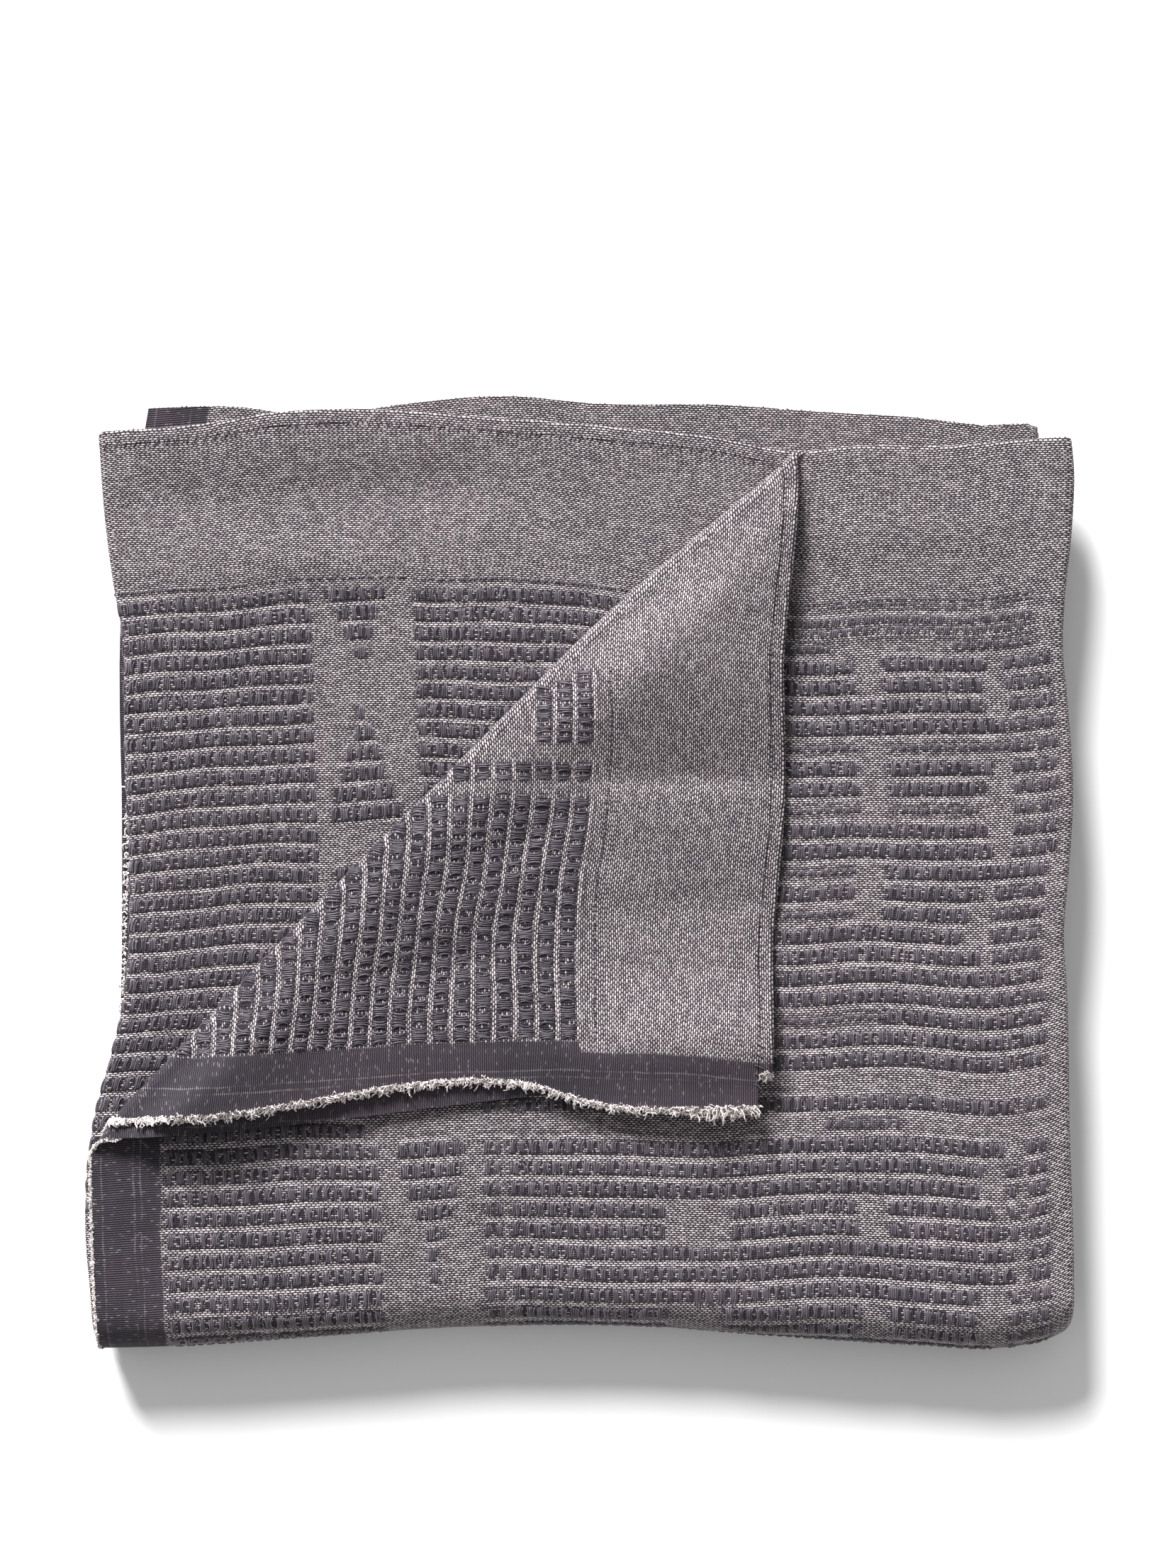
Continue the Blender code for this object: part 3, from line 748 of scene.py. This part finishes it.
def threadTree():
    group = bpy.data.node_groups.new("laidThreads", "GeometryNodeTree")
    kinds = {
        "Geometry": "Geometry", "Thread Width": "Float", "Thread Height": "Float", "Waves": "Float",
        "Sides": "Int", "Parts": "Int", "Thread Material": "Material",
    }
    for label, kind in kinds.items():
        group.interface.new_socket(label, in_out="INPUT", socket_type="NodeSocket" + kind)
    group.interface.new_socket("Geometry", in_out="OUTPUT", socket_type="NodeSocketGeometry")
    tree = Tree(group)
    given = tree.add("NodeGroupInput").outputs

    def named(label, kind="FLOAT"):
        return tree.add("GeometryNodeInputNamedAttribute", {"Name": label}, data_type=kind).outputs["Attribute"]

    def spin(vector, centre=None):
        values = {"Vector": vector, "Center": centre, "Angle": named("heading")}
        return tree.add("ShaderNodeVectorRotate", values, rotation_type="Z_AXIS").outputs[0]

    def place():
        return tree.add("GeometryNodeInputPosition").outputs[0]

    size = {"Vertices": given["Sides"], "Side Segments": given["Parts"], "Radius": 0.5, "Depth": 1.0}
    rod = tree.add("GeometryNodeMeshCylinder", size, fill_type="NGON").outputs["Mesh"]
    stored = {"Geometry": rod, "Name": "along", "Value": tree.axes(place())["Z"]}
    rod = tree.add("GeometryNodeStoreNamedAttribute", stored, domain="POINT").outputs[0]
    rod = tree.add("GeometryNodeTransform", {"Geometry": rod, "Rotation": (-pi / 2, 0, 0)}).outputs[0]
    points = tree.add("GeometryNodeMeshToPoints", {"Mesh": given["Geometry"]}).outputs[0]
    scale = tree.join(given["Thread Width"], named("length"), given["Thread Height"])
    put = tree.add("GeometryNodeInstanceOnPoints", {"Points": points, "Instance": rod, "Scale": scale}).outputs[0]
    real = tree.add("GeometryNodeRealizeInstances", {"Geometry": put}).outputs[0]
    at = named("along")
    bow = tree.math("SUBTRACT", 1.0, tree.times(tree.times(at, at), 4.0))
    wave = tree.math("SINE", tree.line(at, given["Waves"], named("phase")))
    sideways = tree.line(bow, named("bend"), tree.times(wave, named("wave")))
    dome = tree.math("POWER", tree.most(bow, 0.0), 0.6)
    upwards = tree.line(dome, named("rise"), tree.times(at, named("climb")))
    # the rod turns to its heading about the point it was laid on
    turned = spin(place(), named("centre", "FLOAT_VECTOR"))
    placed = tree.vector("ADD", turned, spin(tree.join(sideways, 0.0, upwards)))
    moved = tree.add("GeometryNodeSetPosition", {"Geometry": real, "Position": placed}).outputs[0]
    dressed = tree.add("GeometryNodeSetMaterial", {"Geometry": moved, "Material": given["Thread Material"]})
    tree.feed(tree.add("NodeGroupOutput").inputs[0], dressed.outputs[0])
    return group


laidThreads = threadTree()


def threadPiece(name, threads, look, material):
    count = len(threads["length"])
    mesh = bpy.data.meshes.new(name + "Points")
    mesh.from_pydata([tuple(place) for place in threads["centre"]], [], [])
    for key in ("length", "heading", "bend", "rise", "climb", "wave", "phase", "tone"):
        store(mesh, key, threads.get(key, np.zeros(count)))
    store(mesh, "centre", threads["centre"], "FLOAT_VECTOR")
    holder = newObject(name + "Points", mesh)
    modifier = holder.modifiers.new("laidThreads", "NODES")
    modifier.node_group = laidThreads
    given = {
        "Thread Width": look["width"], "Thread Height": look.get("height", look["width"]),
        "Waves": look.get("waves", 0.0),
        "Sides": look["sides"], "Parts": look["parts"], "Thread Material": material,
    }
    for item in laidThreads.interface.items_tree:
        if item.in_out == "INPUT" and item.name in given:
            modifier[item.identifier] = given[item.name]
    graph = bpy.context.evaluated_depsgraph_get()
    made = bpy.data.meshes.new_from_object(holder.evaluated_get(graph))
    bpy.data.objects.remove(holder)
    made.name = name
    foldMesh(made)
    made.flip_normals()
    made.update()
    made.calc_loop_triangles()
    print(name, count, "threads,", len(made.loop_triangles), "triangles")
    return newObject(name, made)


def onCloth(side, u, pattern, bow):
    # pattern distance to v: the bow is added, and the front bend's stretch is taken out
    v = pattern + bow(u, pattern)
    level = 7 * pitch if side > 0 else 6 * pitch
    start = frontStart + foldExtra
    stretch = pi * (level + pitch / 2) / frontTurn
    return side * np.where(v > start, start + (v - start) / stretch, v)


floats = {
    "spacing": 0.00116, "width": 0.00086, "height": 0.0008, "rise": 0.00034, "sink": 0.00014,
    "bulge": 0.00115, "parts": 4, "sides": 4, "seed": 4,
}


def rowThreads(rng, pattern, uStart, uEnd, length, eyes, missing):
    # one row: threads a little apart, in bundles that part around small eyes
    found = []
    u = uStart + rng.uniform(0, 0.0006)
    while u < uEnd:
        size = rng.integers(4, 8) if eyes > 0.9 else rng.integers(3, 5)
        shares = np.linspace(1, -1, size)
        for share in shares:
            if u >= uEnd:
                break
            if rng.random() >= missing:
                scallop = 0.86 + 0.18 * np.cos(share * 1.4)
                off = rng.normal(0, 0.00018)
                laid = length * scallop * rng.uniform(0.9, 1.08)
                found.append((u, pattern + off, laid, share * eyes * rng.uniform(0.5, 1.3)))
            u += floats["spacing"] * rng.uniform(0.9, 1.1)
        u += floats["spacing"] * (0.25 + 0.55 * rng.random())
    return found


def gatherThreads(rows, side, bow, rng):
    found = []
    for pattern, uStart, uEnd, length, eyes, missing in rows:
        found += rowThreads(rng, pattern, uStart, uEnd, length, eyes, missing)
    u, pattern, length, bend = np.array(found).T
    v = onCloth(side, u, pattern, bow)
    start = frontStart + foldExtra
    inBend = np.abs(v) > start
    stretch = pi * (7.5 * pitch) / frontTurn
    count = len(u)
    return {
        "centre": np.column_stack([u, v, np.full(count, half - floats["sink"])]),
        "length": np.where(inBend, length / stretch, length),
        "heading": rng.normal(0, 0.05, count),
        "bend": bend * floats["bulge"] * rng.uniform(0.7, 1.3, count),
        "rise": floats["rise"] * rng.uniform(0.6, 1.3, count),
        "climb": rng.normal(0, 0.00005, count),
        "tone": np.clip(rng.normal(0.42, 0.26, count), 0, 1),
    }


def kept(threads, mask):
    return {key: value[mask] for key, value in threads.items()}


# The front panel's rows on the top leaf. A span: u start, u end, share of the length, eyes, share missing

frontChart = {
    "leftSpans": (
        (0.0335, 0.1235, 1.0, 0.75, 0.02), (0.1255, 0.1295, 1.0, 0.4, 0.0), (0.1762, 0.18, 0.9, 0.4, 0.0),
        (0.1812, 0.1843, 0.9, 0.4, 0.0),
    ),
    "sparseSpans": ((0.0335, 0.1235, 1.0, 0.55, 0.0), (0.33, 0.363, 0.7, 0.55, 0.1)),
    "middleBlock": (0.188, 0.3437),
    "centreGap": (0.3437, 0.3577),
    "rightEnds": (
        0.404, 0.401, 0.402, 0.4105, 0.412, 0.405, 0.401, 0.397, 0.4015, 0.404, 0.428, 0.401, 0.3946, 0.3936,
        0.4015, 0.4155, 0.4155, 0.4155, 0.4155, 0.4155, 0.4155, 0.4155, 0.4155, 0.41, 0.401, 0.398, 0.4046,
        0.4087, 0.4115, 0.4115, 0.396, 0.3947, 0.3976,
    ),
    "gapRows": (0, 1, 4, 5, 6, 7, 10, 11, 12, 26, 27, 31, 32),
    "weakRows": (4, 7, 10, 12, 17),
    "plainBlocks": {26: (0.2577, 0.2872), 27: (0.2577, 0.2872), 31: (0.2558, 0.2827), 32: (0.2558, 0.2827)},
    "endRows": (  # distance from the back fold, u start, u end, length, eyes, share missing
        (0.0708, 0.205, 0.425, 0.0013, 0.3, 0.12), (0.0729, 0.205, 0.425, 0.0013, 0.3, 0.12),
        (0.0798, 0.205, 0.424, 0.0042, 0.3, 0.12), (0.085, 0.205, 0.424, 0.0042, 0.3, 0.12),
        (0.0918, 0.205, 0.3335, 0.0042, 0.4, 0.1), (0.0918, 0.389, 0.424, 0.0042, 0.4, 0.1),
    ),
    "edgeSquares": {  # before this row: beside a short row, beside a long one
        10: (((0.4125, 0.423), (0.4245, 0.432)),) * 2,
        21: (((0.4072, 0.4165), (0.4185, 0.4285)), ((0.419, 0.4285),)),
        40: (((0.4112, 0.4152), (0.42, 0.429)), ((0.42, 0.429),)),
    },
    "shortEnd": 0.41,  # a row that ends before this is short
    "emptyRow": 20,
    "sparseRow": 22,
    "shortRight": (4, 7),
    "leftFrom": 21,
    "eyes": 0.55,
    "missing": 0.02,
    "weak": 0.45,  # shares of the length
    "short": 0.5,
    "square": (0.85, 0.4, 0.0),
    "beside": (0.0055, 0.004, 0.001),  # before a plain block: where the row ends, and a last few threads
    "triangleCentre": 0.1528,
    "triangle": {22: 0.033, 23: 0.03, 24: 0.0255, 25: 0.022, 26: 0.015, 27: 0.0062, 28: 0.0055, 29: 0.0024},
}


def spansAt(at, spans, length):
    return [(at, low, high, length * share, eyes, missing) for low, high, share, eyes, missing in spans]


def triangleRow(at, centre, wide, length):
    return [(at, centre - wide / 2, centre + wide / 2, length, 0.4, 0.0)] if wide else []


def frontRows():
    chart = frontChart
    rows = list(chart["endRows"])
    full, eyes, missing = rowsFront["floatLength"], chart["eyes"], chart["missing"]
    middle, gap = chart["middleBlock"], chart["centreGap"]
    rowEnd, tuftStart, tuftEnd = chart["beside"]
    for k in range(rowsFront["count"]):
        at = rowsFront["start"] + k * rowsFront["pitch"]
        if k == chart["emptyRow"]:
            continue
        if k == chart["sparseRow"]:
            rows += spansAt(at, chart["sparseSpans"], full)
            continue
        if k >= chart["leftFrom"]:
            rows += spansAt(at, chart["leftSpans"], full)
            rows += triangleRow(at, chart["triangleCentre"], chart["triangle"].get(k, 0), full)
        length = full * (chart["weak"] if k in chart["weakRows"] else 1.0)
        spans = [middle]
        if k in chart["plainBlocks"]:
            low, high = chart["plainBlocks"][k]
            spans = [(middle[0], low - rowEnd), (low - tuftStart, low - tuftEnd), (high, middle[1])]
        if k not in chart["gapRows"]:
            spans.append(gap)
        rows += [(at, *span, length, eyes, missing) for span in spans]
        rightEnd = chart["rightEnds"][k % len(chart["rightEnds"])]
        rightLength = full * (chart["short"] if k in chart["shortRight"] else 1.0)
        rows.append((at, gap[1], rightEnd, rightLength, eyes, missing))
        besideShort, besideLong = next(both for last, both in chart["edgeSquares"].items() if k < last)
        squares = besideShort if rightEnd < chart["shortEnd"] else besideLong
        rows += spansAt(at, [(*square, *chart["square"]) for square in squares], full)
    return rows


# The back panel's rows: the turned corner shows one end of them, the second leaf the other

backChart = {
    "flapSpans": ((0.0365, 0.1475, 1.0, 1.0, 0.0), (0.1537, 0.161, 1.0, 0.5, 0.0)),
    "innerRows": ((0.171, 0.204, 1.0, 0.8, 0.0), (0.171, 0.2, 1.0, 0.8, 0.0), (0.171, 0.196, 1.0, 0.8, 0.0)),
    "flapThinRow": (0.0805, 0.0365, 0.204, 0.0012, 0.2, 0.15),
    "secondSpans": (
        (0.8035, 0.886, 0.88, 0.6, 0.02), (0.7415, 0.7462, 0.85, 0.4, 0.0), (0.7945, 0.7978, 0.85, 0.4, 0.0),
        (0.799, 0.8018, 0.85, 0.4, 0.0), (0.56, 0.74, 0.88, 0.6, 0.04),
    ),
    "secondThinRow": (0.0742, 0.56, 0.885, 0.0014, 0.3, 0.1),
    "triangleCentre": 0.7722,
    "triangleShare": 0.9,
    "triangleRows": 14,  # from one triangle's first row to the next one's
    "lastTriangleRow": 28,
    "triangles": {
        0: 0.027, 1: 0.0185, 2: 0.012, 3: 0.006, 6: 0.0034, 7: 0.009, 8: 0.0155, 9: 0.0194, 10: 0.026, 11: 0.032,
    },
}


def backRows():
    chart = backChart
    flapRows, secondRows = [], []
    length = rowsBack["floatLength"]
    for k in range(rowsBack["count"]):
        at = rowsBack["startEnd"] + k * rowsBack["pitchEnd"]
        flapRows += spansAt(at, (*chart["flapSpans"], *chart["innerRows"][k:k + 1]), length)
    for k in range(rowsBack["countSecond"]):
        at = rowsBack["startSecond"] + k * rowsBack["pitchSecond"]
        secondRows += spansAt(at, chart["secondSpans"], length)
        wide = chart["triangles"].get(k % chart["triangleRows"], 0) if k < chart["lastTriangleRow"] else 0
        secondRows += triangleRow(at, chart["triangleCentre"], wide, length * chart["triangleShare"])
    return [*flapRows, chart["flapThinRow"]], [*secondRows, chart["secondThinRow"]]


flapRows, secondRows = backRows()


def spansOf(rows, start, pitch, full=None):
    # the thin lines between blocks aren't painted
    thick = [row[:4] for row in rows if row[3] > 0.002]
    return [((at - start) / pitch, low, high, min(1, length / (full or length))) for at, low, high, length in thick]


frontSpans = spansOf(frontRows(), rowsFront["start"], rowsFront["pitch"], rowsFront["floatLength"])
backSpans = spansOf(flapRows, rowsBack["startEnd"], rowsBack["pitchEnd"])
backSpans += spansOf(secondRows, rowsBack["startSecond"], rowsBack["pitchSecond"])
seamEdge = -cloth["seamSide"] + cloth["seamGap"] / 2
roundFold = list(np.linspace(-seamFoldHalf, seamFoldHalf, panelMesh["seamFoldParts"] + 1))
frontVs = [seamEdge, -0.004, *roundFold, *crosswiseStations(seamFoldHalf)[1:]]
backVs = sorted(-v for v in crosswiseStations(cloth["seamSide"] + cloth["seamGap"] / 2))
panelFront = panelPiece("panelFront", frontVs, frontPanelEnd, rowFront, frontSpans, frontCloth)
panelBack = panelPiece("panelBack", backVs, backPanelEnd, rowBack, backSpans, backCloth)
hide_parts("panel_front")
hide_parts("panel_back")
print("panels folded:", len(panelFront.data.polygons), len(panelBack.data.polygons))

rng = np.random.default_rng(floats["seed"])
frontThreads = gatherThreads(frontRows(), 1, bowFront, rng)
u, v = frontThreads["centre"][:, 0], frontThreads["centre"][:, 1]
past = corner["sum"] - u - (v - foldExtra)
frontThreads = kept(frontThreads, (past < 0.003) & (v < 0.413))
v = frontThreads["centre"][:, 1]
topFloats = threadPiece("topFloats", kept(frontThreads, v <= 0.3), floats, darkThread)
frontFloats = threadPiece("frontFloats", kept(frontThreads, v > 0.3), floats, darkThread)

flapThreads = gatherThreads(flapRows, -1, bowBack, rng)
u, v = flapThreads["centre"][:, 0], -flapThreads["centre"][:, 1]
flapThreads = kept(flapThreads, corner["sum"] - u - v > 0.0075)
flapFloats = threadPiece("flapFloats", flapThreads, floats, darkThread)
secondThreads = gatherThreads(secondRows, -1, bowBack, rng)
u, v = secondThreads["centre"][:, 0], -secondThreads["centre"][:, 1]
reach = 2 * leafStep - leafTurn - u  # distance from the left turn
secondThreads = kept(secondThreads, (reach + v < 0.348) & (v < 0.355))
secondFloats = threadPiece("secondFloats", secondThreads, floats, darkThread)


# Frayed ends: the panels' own warp, cut and never hemmed

fray = {
    "spacing": 0.00085, "length": 0.0034, "width": 0.00078, "wave": 0.0008, "waves": 9.0, "sides": 3,
    "parts": 5, "seed": 11,
}
# Side, v start, v end, strands deep, share of the length
frayRuns = (
    (-1, 0.007, 0.318, 5, 0.85), (1, -0.006, 0.006, 5, 0.8), (1, 0.3, 0.412, 4, 0.35), (-1, 0.318, 0.412, 2, 0.6),
)


def frayThreads(places, headings, rng, length):
    count = len(places)
    at = places[:, 1]
    tuft = np.exp(-(((np.abs(at) - 0.022) / 0.014) ** 2))
    tufts = 1 + 0.35 * np.sin(at * 900) * np.sin(at * 213 + 1) + 0.9 * tuft
    lengths = length * tufts * np.clip(rng.normal(1.0, 0.35, count), 0.35, 2.2)
    heading = headings + rng.normal(0, 0.7, count) + 0.25 * np.sin(at * 700)
    # the rod's middle sits past the edge, in the direction that it points
    reach = lengths * 0.42
    level = rng.uniform(-0.0004, 0.0005, count)
    return {
        "centre": np.column_stack([places[:, 0] - np.sin(heading) * reach, at + np.cos(heading) * reach, level]),
        "length": lengths, "heading": heading,
        "bend": rng.normal(0, 0.0006, count), "rise": rng.normal(0.0001, 0.0003, count),
        "climb": rng.normal(-0.0001, 0.0006, count), "wave": fray["wave"] * rng.uniform(0.3, 1.4, count),
        "phase": rng.uniform(0, 2 * pi, count), "tone": np.clip(rng.normal(0.7, 0.25, count), 0, 1),
    }


def rawEndPlaces(side, vStart, vEnd, endTable, rng, layers, farEnd=False):
    v = np.arange(vStart, vEnd, fray["spacing"] / layers)
    v = v + rng.uniform(-0.0004, 0.0004, len(v))
    at = np.full(len(v), clothLength if farEnd else 0.0)
    return np.column_stack([trimmed(at, v, endTable), side * v])


def joined(parts):
    return {key: np.concatenate([part[key] for part in parts]) for key in parts[0]}


rng = np.random.default_rng(fray["seed"])
parts = []
for side, vStart, vEnd, layers, share in frayRuns:
    places = rawEndPlaces(side, vStart, vEnd, frontPanelEnd if side > 0 else backPanelEnd, rng, layers)
    parts.append(frayThreads(places, np.full(len(places), pi / 2), rng, fray["length"] * share))
for side, vStart, table in ((1, 0.0, frontPanelEnd), (-1, 0.007, backPanelEnd)):
    places = rawEndPlaces(side, vStart, 0.41, table, rng, 1, farEnd=True)
    parts.append(frayThreads(places, np.full(len(places), -pi / 2), rng, fray["length"] * 0.8))
frayedEnds = threadPiece("frayedEnds", joined(parts), fray, creamThread)

# Selvage loops: the weft turning back at the outer edges

selvageLoops = {"spacing": 0.0023, "length": 0.0024, "width": 0.0009, "sides": 4, "parts": 4, "seed": 5}
rng = np.random.default_rng(selvageLoops["seed"])
lastLeaf = np.arange(3 * leafStep + 0.004, clothLength - 0.004, selvageLoops["spacing"])
thirdLeaf = np.arange(2 * leafStep + 0.004, 2 * leafStep + leafLength, selvageLoops["spacing"])
u = np.concatenate([lastLeaf, thirdLeaf])
count = len(u)
u = u + rng.uniform(-0.0004, 0.0004, count)
edge = cloth["panelWidth"] + foldExtra
loops = []
for side in (1, -1):
    loops.append({
        "centre": np.column_stack([u, np.full(count, side * edge), rng.uniform(-0.0003, 0.0003, count)]),
        "length": selvageLoops["length"] * rng.uniform(0.8, 1.3, count),
        "heading": pi / 2 + rng.normal(0, 0.25, count),
        "bend": side * -rng.uniform(0.0003, 0.0011, count),
        "rise": rng.normal(0, 0.0002, count),
        "climb": rng.normal(0, 0.0003, count),
        "tone": np.clip(rng.normal(0.4, 0.2, count), 0, 1),
    })
selvageEdge = threadPiece("selvageLoops", joined(loops), selvageLoops, darkThread)

# The seam that joins the panels, whipped with dark thread

seam = {"spacing": 0.0046, "length": 0.0042, "width": 0.0005, "slant": 0.5, "sides": 4, "parts": 4, "seed": 8}
rng = np.random.default_rng(seam["seed"])
u = np.arange(0.02, clothLength - 0.015, seam["spacing"])
count = len(u)
u = u + rng.uniform(-0.0006, 0.0006, count)
stitches = {
    "centre": np.column_stack([u, np.full(count, -cloth["seamSide"]), np.full(count, half)]),
    "length": seam["length"] * rng.uniform(0.8, 1.15, count),
    "heading": seam["slant"] + rng.normal(0, 0.12, count),
    "bend": rng.normal(0, 0.0001, count),
    "rise": np.full(count, 0.00018),
    "tone": np.full(count, 0.3),
}
seamStitches = threadPiece("seamStitches", stitches, seam, darkThread)

onFront = [topFloats, frontFloats]
onBack = [flapFloats, secondFloats, frayedEnds, selvageEdge, seamStitches]
for slot, group in (("weave_front", [panelFront, *onFront]), ("weave_back", [panelBack, *onBack])):
    for piece in group:
        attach(piece, "root")
print("cloth dressed")


# Floor, light and camera

studio = {
    "floor": (0.93, 0.93, 0.93), "world": 0.46, "key": 8.2, "softness": 20.0, "keyFrom": (-0.38, 1.0, 0.58),
}
view = {"target": (0.0022, 0.0374, 0.035), "distance": 1.6, "tilt": 4.0, "frameHeight": 0.7167}


def aimed(name, data, direction):
    obj = newObject(name, data)
    obj.rotation_mode = "QUATERNION"
    obj.rotation_quaternion = direction.to_track_quat("-Z", "Y")
    return obj


bpy.ops.mesh.primitive_plane_add(size=60.0, location=(0, 0, 0))
floor = bpy.context.object
floor.name = "floor"
paper, _, _ = newMaterial("floorPaper", Base_Color=colour(studio["floor"]), Roughness=0.9)
floor.data.materials.append(paper)

world = bpy.data.worlds.new("studio")
world.use_nodes = True
sky = world.node_tree.nodes["Background"].inputs
sky["Color"].default_value = (1.0, 1.0, 1.0, 1.0)
sky["Strength"].default_value = studio["world"]
bpy.context.scene.world = world
sun = bpy.data.lights.new("keyLight", "SUN")
sun.energy = studio["key"]
sun.angle = radians(studio["softness"])
aimed("keyLight", sun, -Vector(studio["keyFrom"]))

cameraData = bpy.data.cameras.new("camera")
cameraData.lens = 36.0 * view["distance"] / view["frameHeight"]
cameraData.clip_start, cameraData.clip_end = 0.05, 20.0
tilt = radians(view["tilt"])
back = Vector((0.0, -np.sin(tilt), np.cos(tilt)))
camera = aimed("camera", cameraData, -back)
camera.location = Vector(view["target"]) + back * view["distance"]
bpy.context.scene.camera = camera
bpy.context.scene.view_settings.view_transform = "Standard"
print("stage set")
